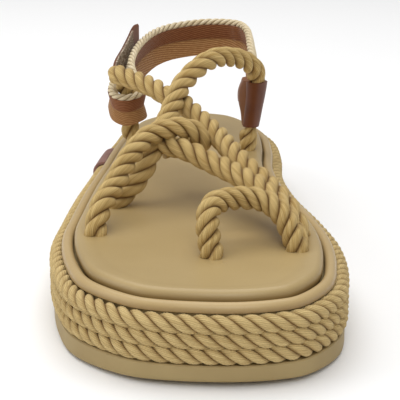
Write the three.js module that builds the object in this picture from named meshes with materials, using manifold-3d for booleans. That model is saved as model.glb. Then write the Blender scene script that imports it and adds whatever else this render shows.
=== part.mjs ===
import * as THREE from 'three';
import { mergeVertices } from 'three/addons/utils/BufferGeometryUtils.js';
import Module from 'manifold-3d';

const wasm = await Module();
wasm.setup();

// A right rope sandal in millimetres. +Z is up from the floor, the toe points towards -Y and
// the big toe side is +X. The origin is on the floor, under the middle of the sole's length.

// Sole: plan sizes
const SOLE_LENGTH = 271;
const BALL_WIDTH = 105;
const HEEL_WIDTH = 77.5;
const TOE_TIP_ACROSS = 9.7;
const HEEL_TIP_ACROSS = -1.5;
const TOE_SPRING = 2.2;
const SPRING_LENGTH = 50;

// Sole: heights and edges
const SLAB_HEIGHT = 7.5;
const SLAB_SETBACK = 1.2;
const SLAB_EDGE_ROUND = 1.2;
const COURSE_DIAMETER = 5;
const COURSES = ['lower', 'middle', 'upper'];
const PIECE_GAP = 0.3;
const RIM_WIDTH = 4.2;
const RIM_HEIGHT = 2.9;
const RIM_OVERHANG = 1;
const RIM_FULLNESS = 0.8;
const FOOTBED_THICKNESS = 5.4;
const FOOTBED_EDGE_ROUND = 3;

// Straps
const STRAP_DIAMETER = 8;
const STRAP_HEIGHT = 44.8;
const STRAP_FOOT_DEPTH = 2.3;
const STRAP_STEP = 6;

// Heel band
const BAND_LENGTH = 64;
const BAND_WIDTH = 54;
const BAND_STAND = 32.8;
const BAND_RISE = 15;
const BAND_HEIGHT = 17;
const WEBBING_THICKNESS = 1.4;
const WEBBING_CREASE = 1.2;
const CORD_DIAMETER = 2.4;
const CORD_ROWS = 7;
const CORD_GROOVE = 0.8;
const TAB_THICKNESS = 1.8;
const TAB_HEIGHT = 15.5;
const TAB_EDGE = 0.06;

// Leather sleeve and joint patch
const SLEEVE_LEATHER = 0.9;
const SLEEVE_LOW = 9.5;
const SLEEVE_HIGH = 30.3;
const SLEEVE_WRAP_START = -150;
const SLEEVE_WRAP_END = 30;
const SLEEVE_WRAP_STEPS = 6;
const PATCH_LEATHER = 1;
const PATCH_START = 0.664;
const PATCH_END = 0.76;

const STATIONS_PER_ROW = 2;
const ROPE_SIDES = 10;
const COURSE_SIDES = 8;
const ROUTE_SAMPLES = 400;
const MERGE_DISTANCE = 1e-4;

// Heights that follow from the sizes above
const coursePitch = COURSE_DIAMETER + PIECE_GAP;
const coursesTop = SLAB_HEIGHT + COURSES.length * coursePitch;
const coreTop = coursesTop - PIECE_GAP;
const rimBase = coreTop + PIECE_GAP;
const coreInset = COURSE_DIAMETER + PIECE_GAP;
const rimInset = coreInset - RIM_OVERHANG;
const footbedInset = rimInset + RIM_WIDTH + PIECE_GAP;
const footbedTop = coreTop + PIECE_GAP + FOOTBED_THICKNESS;
const strapRadius = STRAP_DIAMETER / 2;

// Plan outline of the sole, row by row from the toe to the heel. Each side is a share of
// the local width, which runs from the ball width to the heel width as rear goes from 0 to 1.
const OUTLINE = [
  { along: 0.010, rear: 0.00, medial: 0.242, lateral: 0.136 },
  { along: 0.027, rear: 0.00, medial: 0.327, lateral: 0.238 },
  { along: 0.088, rear: 0.00, medial: 0.434, lateral: 0.393 },
  { along: 0.168, rear: 0.00, medial: 0.473, lateral: 0.466 },
  { along: 0.269, rear: 0.00, medial: 0.475, lateral: 0.503 },
  { along: 0.370, rear: 0.15, medial: 0.453, lateral: 0.514 },
  { along: 0.491, rear: 0.50, medial: 0.424, lateral: 0.545 },
  { along: 0.612, rear: 0.80, medial: 0.424, lateral: 0.559 },
  { along: 0.733, rear: 1.00, medial: 0.471, lateral: 0.561 },
  { along: 0.834, rear: 1.00, medial: 0.457, lateral: 0.515 },
  { along: 0.905, rear: 1.00, medial: 0.390, lateral: 0.477 },
  { along: 0.950, rear: 1.00, medial: 0.311, lateral: 0.385 },
  { along: 0.979, rear: 1.00, medial: 0.211, lateral: 0.271 },
];

// Rope routes. across is a share of the ball width, along of the sole length from toe to heel,
// and rise of the strap height above the footbed.
const TOE_LOOP = [
  { across: 0.037, along: 0.164, rise: 0.000 },
  { across: 0.032, along: 0.170, rise: 0.055 },
  { across: 0.024, along: 0.184, rise: 0.222 },
  { across: 0.038, along: 0.200, rise: 0.308 },
  { across: 0.084, along: 0.216, rise: 0.326 },
  { across: 0.148, along: 0.225, rise: 0.323 },
  { across: 0.210, along: 0.223, rise: 0.302 },
  { across: 0.259, along: 0.211, rise: 0.232 },
  { across: 0.292, along: 0.197, rise: 0.101 },
  { across: 0.308, along: 0.187, rise: 0.000 },
];
const HITCH_OVER = [
  { across: -0.346, along: 0.249, rise: 0.000 },
  { across: -0.345, along: 0.253, rise: 0.034 },
  { across: -0.330, along: 0.271, rise: 0.165 },
  { across: -0.289, along: 0.312, rise: 0.283 },
  { across: -0.258, along: 0.341, rise: 0.401 },
  { across: -0.216, along: 0.369, rise: 0.509 },
  { across: -0.177, along: 0.389, rise: 0.569 },
  { across: -0.125, along: 0.402, rise: 0.601 },
  { across: -0.071, along: 0.410, rise: 0.607 },
  { across: -0.027, along: 0.415, rise: 0.576 },
  { across: 0.003, along: 0.421, rise: 0.500 },
  { across: 0.006, along: 0.431, rise: 0.450 },
  { across: -0.020, along: 0.440, rise: 0.415 },
  { across: -0.072, along: 0.440, rise: 0.395 },
  { across: -0.130, along: 0.428, rise: 0.405 },
];
const HITCH_UNDER = [
  { across: -0.138, along: 0.419, rise: 0.466 },
  { across: -0.089, along: 0.400, rise: 0.456 },
  { across: -0.036, along: 0.386, rise: 0.439 },
  { across: 0.024, along: 0.367, rise: 0.393 },
  { across: 0.076, along: 0.347, rise: 0.366 },
  { across: 0.126, along: 0.319, rise: 0.350 },
  { across: 0.184, along: 0.288, rise: 0.323 },
  { across: 0.230, along: 0.260, rise: 0.281 },
  { across: 0.270, along: 0.238, rise: 0.201 },
  { across: 0.301, along: 0.223, rise: 0.078 },
  { across: 0.317, along: 0.215, rise: 0.000 },
];
const LATERAL_ROPE = [
  { across: -0.267, along: 0.695, rise: 0.000 },
  { across: -0.272, along: 0.695, rise: 0.055 },
  { across: -0.291, along: 0.690, rise: 0.234 },
  { across: -0.298, along: 0.688, rise: 0.391 },
  { across: -0.298, along: 0.688, rise: 0.569 },
  { across: -0.310, along: 0.685, rise: 0.658 },
  { across: -0.330, along: 0.676, rise: 0.730 },
  { across: -0.333, along: 0.661, rise: 0.770 },
  { across: -0.313, along: 0.645, rise: 0.774 },
  { across: -0.281, along: 0.631, rise: 0.764 },
  { across: -0.223, along: 0.603, rise: 0.753 },
  { across: -0.171, along: 0.576, rise: 0.733 },
  { across: -0.133, along: 0.555, rise: 0.700 },
  { across: -0.094, along: 0.539, rise: 0.679 },
  { across: -0.063, along: 0.521, rise: 0.663 },
  { across: -0.029, along: 0.498, rise: 0.623 },
  { across: 0.019, along: 0.467, rise: 0.558 },
  { across: 0.067, along: 0.434, rise: 0.494 },
  { across: 0.113, along: 0.386, rise: 0.435 },
  { across: 0.155, along: 0.351, rise: 0.377 },
  { across: 0.210, along: 0.319, rise: 0.310 },
  { across: 0.251, along: 0.290, rise: 0.255 },
  { across: 0.289, along: 0.266, rise: 0.183 },
  { across: 0.316, along: 0.249, rise: 0.078 },
  { across: 0.329, along: 0.242, rise: 0.000 },
];
const MEDIAL_ROPE = [
  { across: 0.194, along: 0.696, rise: 0.000 },
  { across: 0.196, along: 0.696, rise: 0.055 },
  { across: 0.210, along: 0.693, rise: 0.234 },
  { across: 0.219, along: 0.689, rise: 0.391 },
  { across: 0.227, along: 0.686, rise: 0.547 },
  { across: 0.230, along: 0.679, rise: 0.703 },
  { across: 0.217, along: 0.662, rise: 0.829 },
  { across: 0.167, along: 0.635, rise: 0.937 },
  { across: 0.110, along: 0.607, rise: 0.993 },
  { across: 0.053, along: 0.577, rise: 1.011 },
  { across: 0.000, along: 0.552, rise: 0.969 },
  { across: -0.052, along: 0.530, rise: 0.875 },
  { across: -0.082, along: 0.507, rise: 0.795 },
  { across: -0.098, along: 0.489, rise: 0.713 },
  { across: -0.113, along: 0.467, rise: 0.637 },
  { across: -0.137, along: 0.439, rise: 0.551 },
  { across: -0.168, along: 0.413, rise: 0.420 },
  { across: -0.192, along: 0.400, rise: 0.302 },
  { across: -0.219, along: 0.391, rise: 0.200 },
  { across: -0.254, along: 0.383, rise: 0.112 },
  { across: -0.287, along: 0.378, rise: 0.045 },
  { across: -0.302, along: 0.376, rise: 0.000 },
];

// Heel band from its medial end, round the heel, to the lateral rope. across is a share of
// the band width, back of the band length behind the side ropes, rise of the band rise and
// tall of the band height.
const BAND = [
  { across: 0.428, back: 0.156, rise: 0.25, tall: 0.92 },
  { across: 0.428, back: 0.297, rise: 0.43, tall: 0.95 },
  { across: 0.421, back: 0.453, rise: 0.62, tall: 1.00 },
  { across: 0.418, back: 0.610, rise: 0.79, tall: 1.00 },
  { across: 0.400, back: 0.750, rise: 0.92, tall: 1.00 },
  { across: 0.336, back: 0.895, rise: 1.00, tall: 1.00 },
  { across: 0.190, back: 0.973, rise: 1.01, tall: 1.00 },
  { across: 0.000, back: 1.000, rise: 0.98, tall: 1.00 },
  { across: -0.148, back: 0.980, rise: 0.93, tall: 1.00 },
  { across: -0.287, back: 0.919, rise: 0.87, tall: 1.00 },
  { across: -0.398, back: 0.816, rise: 0.78, tall: 1.00 },
  { across: -0.474, back: 0.680, rise: 0.66, tall: 1.00 },
  { across: -0.526, back: 0.530, rise: 0.53, tall: 1.00 },
  { across: -0.557, back: 0.375, rise: 0.38, tall: 0.98 },
  { across: -0.563, back: 0.234, rise: 0.21, tall: 0.94 },
  { across: -0.530, back: 0.117, rise: 0.00, tall: 0.88 },
];

// The band's turn round the lateral rope: turn is in degrees from the inner side of the rope.
const BAND_TURN = [
  { turn: 0, rise: -0.28, tall: 0.80 },
  { turn: 45, rise: -0.43, tall: 0.74 },
  { turn: 90, rise: -0.50, tall: 0.76 },
  { turn: 135, rise: -0.48, tall: 0.68 },
  { turn: 180, rise: -0.42, tall: 0.48 },
];
const BAND_TAIL = { across: -0.700, back: 0.090, rise: -0.30, tall: 0.50 };

// Closure tab, which stands open outside the band
const TAB = [
  { across: -0.702, back: 0.106, rise: -0.24, tall: 0.66 },
  { across: -0.700, back: 0.170, rise: 0.02, tall: 0.90 },
  { across: -0.688, back: 0.245, rise: 0.26, tall: 1.00 },
  { across: -0.639, back: 0.385, rise: 0.53, tall: 1.00 },
  { across: -0.598, back: 0.575, rise: 0.77, tall: 1.00 },
  { across: -0.568, back: 0.710, rise: 0.95, tall: 0.95 },
  { across: -0.535, back: 0.810, rise: 0.95, tall: 0.80 },
];

// Leather sleeve, level by level. up is a share of its height from its low end, squeeze is how
// much the rope's radius is pinched in it, and bulge how far its inner side stands off.
const SLEEVE = [
  { up: 0.00, squeeze: 1.6, bulge: 0.0 },
  { up: 0.25, squeeze: 1.4, bulge: 1.2 },
  { up: 0.50, squeeze: 1.2, bulge: 2.8 },
  { up: 0.75, squeeze: 0.9, bulge: 3.2 },
  { up: 1.00, squeeze: 0.6, bulge: 1.4 },
];

// Solids from rings of points. A closed stack runs back to its first ring, and an open one
// has its first and last ring capped.
function solidFromRings(rings, closed = false, cap = stripTriangles(rings[0].length)) {
  const count = rings[0].length;
  const positions = rings.flat().flatMap((point) => [point.x, point.y, point.z]);
  const index = [];
  const steps = closed ? rings.length : rings.length - 1;
  for (let i = 0; i < steps; i += 1) {
    const low = i * count;
    const high = ((i + 1) % rings.length) * count;
    for (let k = 0; k < count; k += 1) {
      const next = (k + 1) % count;
      index.push(low + k, low + next, high + next, low + k, high + next, high + k);
    }
  }
  if (!closed) {
    const last = (rings.length - 1) * count;
    for (const [a, b, c] of cap) {
      index.push(a, c, b, last + a, last + b, last + c);
    }
  }
  const geometry = new THREE.BufferGeometry();
  geometry.setAttribute('position', new THREE.Float32BufferAttribute(positions, 3));
  geometry.setIndex(index);
  return facingOut(geometry);
}

// A cap in strips across the ring, from one side to the other.
function stripTriangles(count) {
  const triangles = [];
  let low = 0;
  let high = count - 1;
  while (high - low > 1) {
    triangles.push([low, low + 1, high]);
    low += 1;
    if (high - low > 1) {
      triangles.push([low, high - 1, high]);
      high -= 1;
    }
  }
  return triangles;
}

function facingOut(geometry) {
  const index = geometry.getIndex().array;
  const position = geometry.getAttribute('position');
  const a = new THREE.Vector3();
  const b = new THREE.Vector3();
  const c = new THREE.Vector3();
  let volume = 0;
  for (let i = 0; i < index.length; i += 3) {
    a.fromBufferAttribute(position, index[i]);
    b.fromBufferAttribute(position, index[i + 1]);
    c.fromBufferAttribute(position, index[i + 2]);
    volume += a.dot(b.cross(c));
  }
  if (volume < 0) {
    for (let i = 0; i < index.length; i += 3) {
      [index[i + 1], index[i + 2]] = [index[i + 2], index[i + 1]];
    }
  }
  return geometry;
}

function toManifold(geometry) {
  const bare = geometry.clone();
  bare.deleteAttribute('normal');
  bare.deleteAttribute('uv');
  const merged = mergeVertices(bare, MERGE_DISTANCE);
  return new wasm.Manifold(new wasm.Mesh({
    numProp: 3,
    vertProperties: merged.getAttribute('position').array,
    triVerts: new Uint32Array(merged.getIndex().array),
  }));
}

function toGeometry(manifold) {
  const mesh = manifold.getMesh();
  const geometry = new THREE.BufferGeometry();
  geometry.setAttribute('position', new THREE.BufferAttribute(mesh.vertProperties, 3));
  geometry.setIndex(new THREE.BufferAttribute(mesh.triVerts, 1));
  return geometry;
}

// Sole outline and points on it
function outlineCurve() {
  const rowY = (row) => (row.along - 0.5) * SOLE_LENGTH;
  const rowWidth = (row) => BALL_WIDTH + (HEEL_WIDTH - BALL_WIDTH) * row.rear;
  const medial = OUTLINE.map((row) => new THREE.Vector3(row.medial * rowWidth(row), rowY(row), 0));
  const lateral = OUTLINE.map((row) => new THREE.Vector3(-row.lateral * rowWidth(row), rowY(row), 0));
  const toeTip = new THREE.Vector3(TOE_TIP_ACROSS, -SOLE_LENGTH / 2, 0);
  const heelTip = new THREE.Vector3(HEEL_TIP_ACROSS, SOLE_LENGTH / 2, 0);
  return new THREE.CatmullRomCurve3([toeTip, ...medial, heelTip, ...lateral.reverse()], true);
}

const outline = outlineCurve();
const STATIONS = 2 * (OUTLINE.length + 1) * STATIONS_PER_ROW;

function toeLift(y) {
  const springStart = SPRING_LENGTH - SOLE_LENGTH / 2;
  const share = Math.max(0, (springStart - y) / SPRING_LENGTH);
  return TOE_SPRING * share * share;
}

function solePoint(share, inset, height) {
  const point = outline.getPoint(share);
  const tangent = outline.getTangent(share);
  const x = point.x - tangent.y * inset;
  const y = point.y + tangent.x * inset;
  return new THREE.Vector3(x, y, height);
}

function soleRing(inset, height) {
  return Array.from({ length: STATIONS }, (_, k) => solePoint(k / STATIONS, inset, height));
}

// A profile of { inset, height } points swept round the whole outline
function sweptRound(profile) {
  const rings = Array.from({ length: STATIONS }, (_, k) => (
    profile.map((point) => solePoint(k / STATIONS, point.inset, point.height))
  ));
  return solidFromRings(rings, true);
}

// Moulded sole: a tread slab, thinner at the toe, with a core that rises behind the rope
// courses
function outsole() {
  const lifted = (ring) => ring.map((point) => point.setZ(point.z + toeLift(point.y)));
  return solidFromRings([
    lifted(soleRing(SLAB_SETBACK + SLAB_EDGE_ROUND, 0)),
    lifted(soleRing(SLAB_SETBACK, SLAB_EDGE_ROUND)),
    soleRing(SLAB_SETBACK, SLAB_HEIGHT),
    soleRing(coreInset, SLAB_HEIGHT),
    soleRing(coreInset, coreTop),
  ]);
}

// One course of rope laid round the sole
function ropeCourse(level) {
  const radius = COURSE_DIAMETER / 2;
  const middle = SLAB_HEIGHT + PIECE_GAP + radius + level * coursePitch;
  const profile = Array.from({ length: COURSE_SIDES }, (_, k) => {
    const angle = (k + 0.5) * 2 * Math.PI / COURSE_SIDES;
    return { inset: radius + radius * Math.cos(angle), height: middle + radius * Math.sin(angle) };
  });
  return sweptRound(profile);
}

// Leather-bound rim: a half-round roll that sits on the core and covers the top course
function rimBinding() {
  const steps = 6;
  const half = RIM_WIDTH / 2;
  const profile = Array.from({ length: steps + 1 }, (_, k) => {
    const angle = k * Math.PI / steps;
    const height = PIECE_GAP + (RIM_HEIGHT - PIECE_GAP) * Math.sin(angle) ** RIM_FULLNESS;
    return { inset: rimInset + half - half * Math.cos(angle), height: rimBase + height };
  });
  profile.push({ inset: rimInset + RIM_WIDTH, height: rimBase });
  profile.push({ inset: rimInset + RIM_OVERHANG / 2, height: rimBase });
  return sweptRound(profile);
}

// Cushioned footbed with a soft rounded edge, cut where the straps go down into it
function footbed(strapCut) {
  const base = coreTop + PIECE_GAP;
  const shoulder = FOOTBED_THICKNESS - FOOTBED_EDGE_ROUND / 2;
  const steps = 4;
  const rings = [soleRing(footbedInset, base)];
  for (let k = 0; k <= steps; k += 1) {
    const angle = k * Math.PI / 2 / steps;
    const inset = footbedInset + FOOTBED_EDGE_ROUND * (1 - Math.cos(angle));
    rings.push(soleRing(inset, base + shoulder + (FOOTBED_THICKNESS - shoulder) * Math.sin(angle)));
  }
  return toGeometry(toManifold(solidFromRings(rings)).subtract(strapCut));
}

// Strap ropes
function routePoint(row) {
  return new THREE.Vector3(
    row.across * BALL_WIDTH,
    (row.along - 0.5) * SOLE_LENGTH,
    footbedTop + row.rise * STRAP_HEIGHT,
  );
}

function routeCurve(route, extra = 0) {
  const points = route.map(routePoint);
  const sunk = (point) => point.clone().setZ(point.z - STRAP_FOOT_DEPTH - extra);
  if (route[0].rise === 0) points.unshift(sunk(points[0]));
  if (route[route.length - 1].rise === 0) points.push(sunk(points[points.length - 1]));
  return new THREE.CatmullRomCurve3(points);
}

// Inside the sleeve the rope is squeezed thinner.
function strapRadiusAt(route, point) {
  if (route !== MEDIAL_ROPE || point.y < sleeveBack - STRAP_DIAMETER) return strapRadius;
  const above = point.z - footbedTop;
  const up = THREE.MathUtils.clamp((above - SLEEVE_LOW) / (SLEEVE_HIGH - SLEEVE_LOW), 0, 1);
  const inside = Math.min(above - SLEEVE_LOW, SLEEVE_HIGH - above);
  const share = THREE.MathUtils.smoothstep(inside, -STRAP_STEP, 0);
  return strapRadius - sleeveSqueeze(up) * share;
}

function sleeveSqueeze(up) {
  const next = Math.max(1, SLEEVE.findIndex((row) => row.up >= up));
  const before = SLEEVE[next - 1];
  const after = SLEEVE[next];
  return THREE.MathUtils.mapLinear(up, before.up, after.up, before.squeeze, after.squeeze);
}

function strap(route, extra = 0) {
  const curve = routeCurve(route, extra);
  const steps = Math.round(curve.getLength() / STRAP_STEP);
  const frames = curve.computeFrenetFrames(steps, false);
  const rings = Array.from({ length: steps + 1 }, (_, i) => {
    const centre = curve.getPointAt(i / steps);
    const radius = strapRadiusAt(route, centre) + extra;
    return Array.from({ length: ROPE_SIDES }, (__, k) => {
      const angle = k * 2 * Math.PI / ROPE_SIDES;
      return centre.clone()
        .addScaledVector(frames.normals[i], radius * Math.cos(angle))
        .addScaledVector(frames.binormals[i], radius * Math.sin(angle));
    });
  });
  return toManifold(solidFromRings(rings));
}

// All straps as one solid, joined where they cross and where their ends meet. extra makes
// the larger copy that cuts clearance into the pieces that the straps pass through.
function strapRopes(extra = 0) {
  return [TOE_LOOP, HITCH_OVER, HITCH_UNDER, LATERAL_ROPE, MEDIAL_ROPE]
    .map((route) => strap(route, extra))
    .reduce((joined, next) => joined.add(next));
}

// The centre of a side rope at one height above the footbed
function ropeCentreAt(route, above) {
  const curve = routeCurve(route);
  for (let i = 0; i < ROUTE_SAMPLES; i += 1) {
    const point = curve.getPoint(i / ROUTE_SAMPLES);
    if (point.z >= footbedTop + above) return point;
  }
  return curve.getPoint(1);
}

// Heel band
const bandBase = footbedTop + BAND_STAND;
const bandThickness = WEBBING_THICKNESS + CORD_DIAMETER;
const wrapCentre = ropeCentreAt(LATERAL_ROPE, BAND_STAND - BAND_HEIGHT);
const wrapRadius = strapRadius + 2 * PIECE_GAP + bandThickness / 2;
const sleeveBack = ropeCentreAt(MEDIAL_ROPE, SLEEVE_LOW).y;

function bandRowPoint(row) {
  return {
    x: row.across * BAND_WIDTH,
    y: wrapCentre.y + row.back * BAND_LENGTH,
    rise: row.rise,
    tall: row.tall,
  };
}

function bandTurnPoint(row) {
  const angle = THREE.MathUtils.degToRad(row.turn);
  return {
    x: wrapCentre.x + wrapRadius * Math.cos(angle),
    y: wrapCentre.y - wrapRadius * Math.sin(angle),
    rise: row.rise,
    tall: row.tall,
  };
}

// An upright strip along a plan path. Its section is a list of { out, up } points:
// out in millimetres from the middle of the strip, up as a share of its height.
function uprightStrip(rows, section, height) {
  const top = rows.map((row) => new THREE.Vector3(row.x, row.y, bandBase + row.rise * BAND_RISE));
  const low = top.map((point, i) => point.clone().setZ(point.z - rows[i].tall * height));
  const topCurve = new THREE.CatmullRomCurve3(top, false, 'catmullrom');
  const lowCurve = new THREE.CatmullRomCurve3(low, false, 'catmullrom');
  const steps = (rows.length - 1) * STATIONS_PER_ROW;
  const rings = Array.from({ length: steps + 1 }, (_, i) => {
    const upper = topCurve.getPoint(i / steps);
    const lower = lowCurve.getPoint(i / steps);
    const tangent = topCurve.getTangent(i / steps).setZ(0).normalize();
    const outward = new THREE.Vector3(tangent.y, -tangent.x, 0);
    return section.map((point) => (
      lower.clone().lerp(upper, point.up).addScaledVector(outward, point.out)
    ));
  });
  return solidFromRings(rings, false, sectionTriangles(section, height));
}

function sectionTriangles(section, height) {
  const flat = section.map((point) => new THREE.Vector2(point.out, point.up * height));
  const triangles = THREE.ShapeUtils.triangulateShape(flat, []);
  return THREE.ShapeUtils.isClockWise(flat) ? triangles.map((each) => each.reverse()) : triangles;
}

// Webbing inside with its lengthwise crease, and rows of twisted cord outside
function heelBand() {
  const inside = -bandThickness / 2;
  const section = [
    { out: inside, up: 0 },
    { out: inside + WEBBING_CREASE, up: 0.5 },
    { out: inside, up: 1 },
  ];
  for (let row = CORD_ROWS - 1; row >= 0; row -= 1) {
    section.push({ out: bandThickness / 2, up: (row + 0.5) / CORD_ROWS });
    if (row > 0) section.push({ out: bandThickness / 2 - CORD_GROOVE, up: row / CORD_ROWS });
  }
  const rows = [...BAND.map(bandRowPoint), ...BAND_TURN.map(bandTurnPoint), bandRowPoint(BAND_TAIL)];
  return uprightStrip(rows, section, BAND_HEIGHT);
}

function closureTab() {
  const half = TAB_THICKNESS / 2;
  const section = [
    { out: -half, up: TAB_EDGE },
    { out: -half, up: 1 - TAB_EDGE },
    { out: 0, up: 1 },
    { out: half, up: 1 - TAB_EDGE },
    { out: half, up: TAB_EDGE },
    { out: 0, up: 0 },
  ];
  return uprightStrip(TAB.map(bandRowPoint), section, TAB_HEIGHT);
}

// Leather sleeve round the medial rope. Its tail reaches back to the end of the heel band,
// and its inner side stands off the rope in a soft bulge.
function ropeSleeve(strapCut) {
  const bandEnd = bandRowPoint(BAND[0]);
  const tailY = bandEnd.y - PIECE_GAP;
  const tailHalf = bandThickness / 2;
  const rings = SLEEVE.map((row) => {
    const centre = ropeCentreAt(MEDIAL_ROPE, THREE.MathUtils.lerp(SLEEVE_LOW, SLEEVE_HIGH, row.up));
    const outer = strapRadius - row.squeeze + PIECE_GAP + SLEEVE_LEATHER;
    const around = Array.from({ length: SLEEVE_WRAP_STEPS + 1 }, (_, k) => {
      const turn = THREE.MathUtils.lerp(SLEEVE_WRAP_START, SLEEVE_WRAP_END, k / SLEEVE_WRAP_STEPS);
      const angle = THREE.MathUtils.degToRad(turn);
      return [centre.x + outer * Math.cos(angle), centre.y + outer * Math.sin(angle)];
    });
    const side = centre.x - outer - row.bulge;
    const tail = [
      [bandEnd.x + tailHalf, tailY],
      [bandEnd.x - tailHalf, tailY],
      [side, centre.y + outer],
      [side, centre.y],
    ];
    return [...around, ...tail].map(([x, y]) => new THREE.Vector3(x, y, centre.z));
  });
  return toGeometry(toManifold(solidFromRings(rings)).subtract(strapCut));
}

// Leather patch over the place where the ends of the rope courses meet. It bends over the top
// course to the rim.
function jointPatch() {
  const steps = 5;
  const bends = 3;
  const low = SLAB_HEIGHT + PIECE_GAP;
  const radius = COURSE_DIAMETER / 2;
  const middle = coursesTop - radius;
  const inner = radius + PIECE_GAP;
  const outer = inner + PATCH_LEATHER;
  const rimSide = rimInset - PIECE_GAP;
  const bent = (reach) => Array.from({ length: bends + 1 }, (_, k) => {
    const angle = k * Math.PI / 2 / bends;
    return { inset: radius - reach * Math.cos(angle), height: middle + reach * Math.sin(angle) };
  });
  const profile = [
    { inset: radius - inner, height: low },
    ...bent(inner),
    { inset: rimSide, height: middle + inner },
    { inset: rimSide, height: middle + outer },
    ...bent(outer).reverse(),
    { inset: radius - outer, height: low },
  ];
  const rings = Array.from({ length: steps + 1 }, (_, i) => {
    const share = 1 - lateralShare(PATCH_START + (PATCH_END - PATCH_START) * i / steps);
    return profile.map((point) => solePoint(share, point.inset, point.height));
  });
  return solidFromRings(rings);
}

// Where on the outline, counted from the toe tip down the lateral side, a row lies
function lateralShare(along) {
  const row = OUTLINE.findIndex((entry) => entry.along > along);
  const before = OUTLINE[row - 1].along;
  const part = (along - before) / (OUTLINE[row].along - before);
  return (row + part) / (2 * (OUTLINE.length + 1));
}

// Materials
const finish = (name, color, roughness) => (
  new THREE.MeshStandardMaterial({ name, color, roughness, metalness: 0 })
);
const soleRubber = finish('sole_rubber', 0xa58d62, 0.75);
const coveringLeather = finish('covering_leather', 0xc4a97b, 0.55);
const courseRope = finish('course_rope', 0xbfa678, 0.9);
const strapRope = finish('strap_rope', 0xc2a672, 0.9);
const bandWebbing = finish('band_webbing', 0x8a5a3c, 0.9);
const brownLeather = finish('brown_leather', 0x6b4330, 0.55);

const sandal = new THREE.Group();

function addPiece(name, geometry, material) {
  geometry.computeVertexNormals();
  const mesh = new THREE.Mesh(geometry, material);
  mesh.name = name;
  sandal.add(mesh);
}

const strapCut = strapRopes(PIECE_GAP);

addPiece('outsole', outsole(), soleRubber);
COURSES.forEach((level, i) => addPiece(`rope_course_${level}`, ropeCourse(i), courseRope));
addPiece('rim_binding', rimBinding(), coveringLeather);
addPiece('footbed', footbed(strapCut), coveringLeather);
addPiece('strap_ropes', toGeometry(strapRopes()), strapRope);
addPiece('heel_band', heelBand(), bandWebbing);
addPiece('closure_tab', closureTab(), bandWebbing);
addPiece('rope_sleeve', ropeSleeve(strapCut), brownLeather);
addPiece('joint_patch', jointPatch(), brownLeather);

export default sandal;
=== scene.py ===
import math
import bmesh
import bpy
import numpy as np
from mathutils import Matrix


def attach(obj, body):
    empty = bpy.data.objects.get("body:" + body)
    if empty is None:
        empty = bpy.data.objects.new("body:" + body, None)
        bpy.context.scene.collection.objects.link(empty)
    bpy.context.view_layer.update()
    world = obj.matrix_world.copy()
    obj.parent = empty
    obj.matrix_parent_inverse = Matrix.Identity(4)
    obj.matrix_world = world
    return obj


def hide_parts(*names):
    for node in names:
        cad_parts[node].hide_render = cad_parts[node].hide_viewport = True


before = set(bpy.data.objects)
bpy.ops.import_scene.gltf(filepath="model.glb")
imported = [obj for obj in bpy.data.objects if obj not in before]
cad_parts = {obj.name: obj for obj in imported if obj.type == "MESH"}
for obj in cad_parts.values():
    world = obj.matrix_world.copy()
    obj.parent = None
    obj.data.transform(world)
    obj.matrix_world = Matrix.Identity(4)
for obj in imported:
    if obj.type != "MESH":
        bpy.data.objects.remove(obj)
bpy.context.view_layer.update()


# Studio: the sandal stands on a plain pale floor under broad soft light.
# The camera looks at the toe from the front, a little from above.
CAMERA_PLACE = (0.0, -0.4922, 0.16464)
CAMERA_PITCH = 16.3
CAMERA_LENS = 115.65
FLOOR_SIZE = 8.0
SOFT_LIGHTS = [
    {"name": "overhead", "place": (-0.1, 0.30, 1.3), "size": 1.4, "watts": 13.5},
    {"name": "front", "place": (0.1, -1.2, 1.1), "size": 0.9, "watts": 8.0},
    {"name": "side", "place": (-1.3, -0.2, 0.6), "size": 1.0, "watts": 5.0},
]
ROOM_LIGHT = 0.36


def paint(red, green, blue):
    """A paint card's 0 to 255 values as the shader's linear colour."""
    def linear(value):
        value = value / 255
        return value / 12.92 if value <= 0.04045 else ((value + 0.055) / 1.055) ** 2.4
    return (linear(red), linear(green), linear(blue), 1.0)


def new_finish(name, roughness, **sockets):
    """A material with its node tree and shader; sockets are set on the shader itself."""
    finish = bpy.data.materials.new(name)
    finish.use_nodes = True
    shader = finish.node_tree.nodes["Principled BSDF"]
    shader.inputs["Roughness"].default_value = roughness
    for socket, value in sockets.items():
        shader.inputs[socket.replace("_", " ")].default_value = value
    return finish, finish.node_tree, shader


def add_node(tree, kind, settings=None, **inputs):
    """One shader node. An input is a plain value or another node's output socket."""
    made = tree.nodes.new("ShaderNode" + kind)
    for key, value in (settings or {}).items():
        setattr(made, key, value)
    for key, value in inputs.items():
        socket = made.inputs[key.replace("_", " ")]
        if isinstance(value, bpy.types.NodeSocket):
            tree.links.new(value, socket)
        else:
            socket.default_value = value
    return made


camera = bpy.data.objects.new("camera", bpy.data.cameras.new("camera"))
camera.data.lens = CAMERA_LENS
camera.data.clip_start = 0.01
camera.location = CAMERA_PLACE
camera.rotation_euler = (math.radians(90 - CAMERA_PITCH), 0, 0)
bpy.context.scene.collection.objects.link(camera)
bpy.context.scene.camera = camera
bpy.context.scene.view_settings.view_transform = "Standard"

for light in SOFT_LIGHTS:
    lamp = bpy.data.lights.new(light["name"], "AREA")
    lamp.size = light["size"]
    lamp.energy = light["watts"]
    holder = bpy.data.objects.new(light["name"], lamp)
    holder.location = light["place"]
    aim = -np.array(light["place"])
    across = math.atan2(-aim[0], aim[1])
    holder.rotation_euler = (math.acos(-aim[2] / np.linalg.norm(aim)), 0, across)
    bpy.context.scene.collection.objects.link(holder)

world = bpy.data.worlds.new("room")
bpy.context.scene.world = world
world.use_nodes = True
world.node_tree.nodes["Background"].inputs["Color"].default_value = (1.0, 1.0, 1.0, 1.0)
world.node_tree.nodes["Background"].inputs["Strength"].default_value = ROOM_LIGHT

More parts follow.
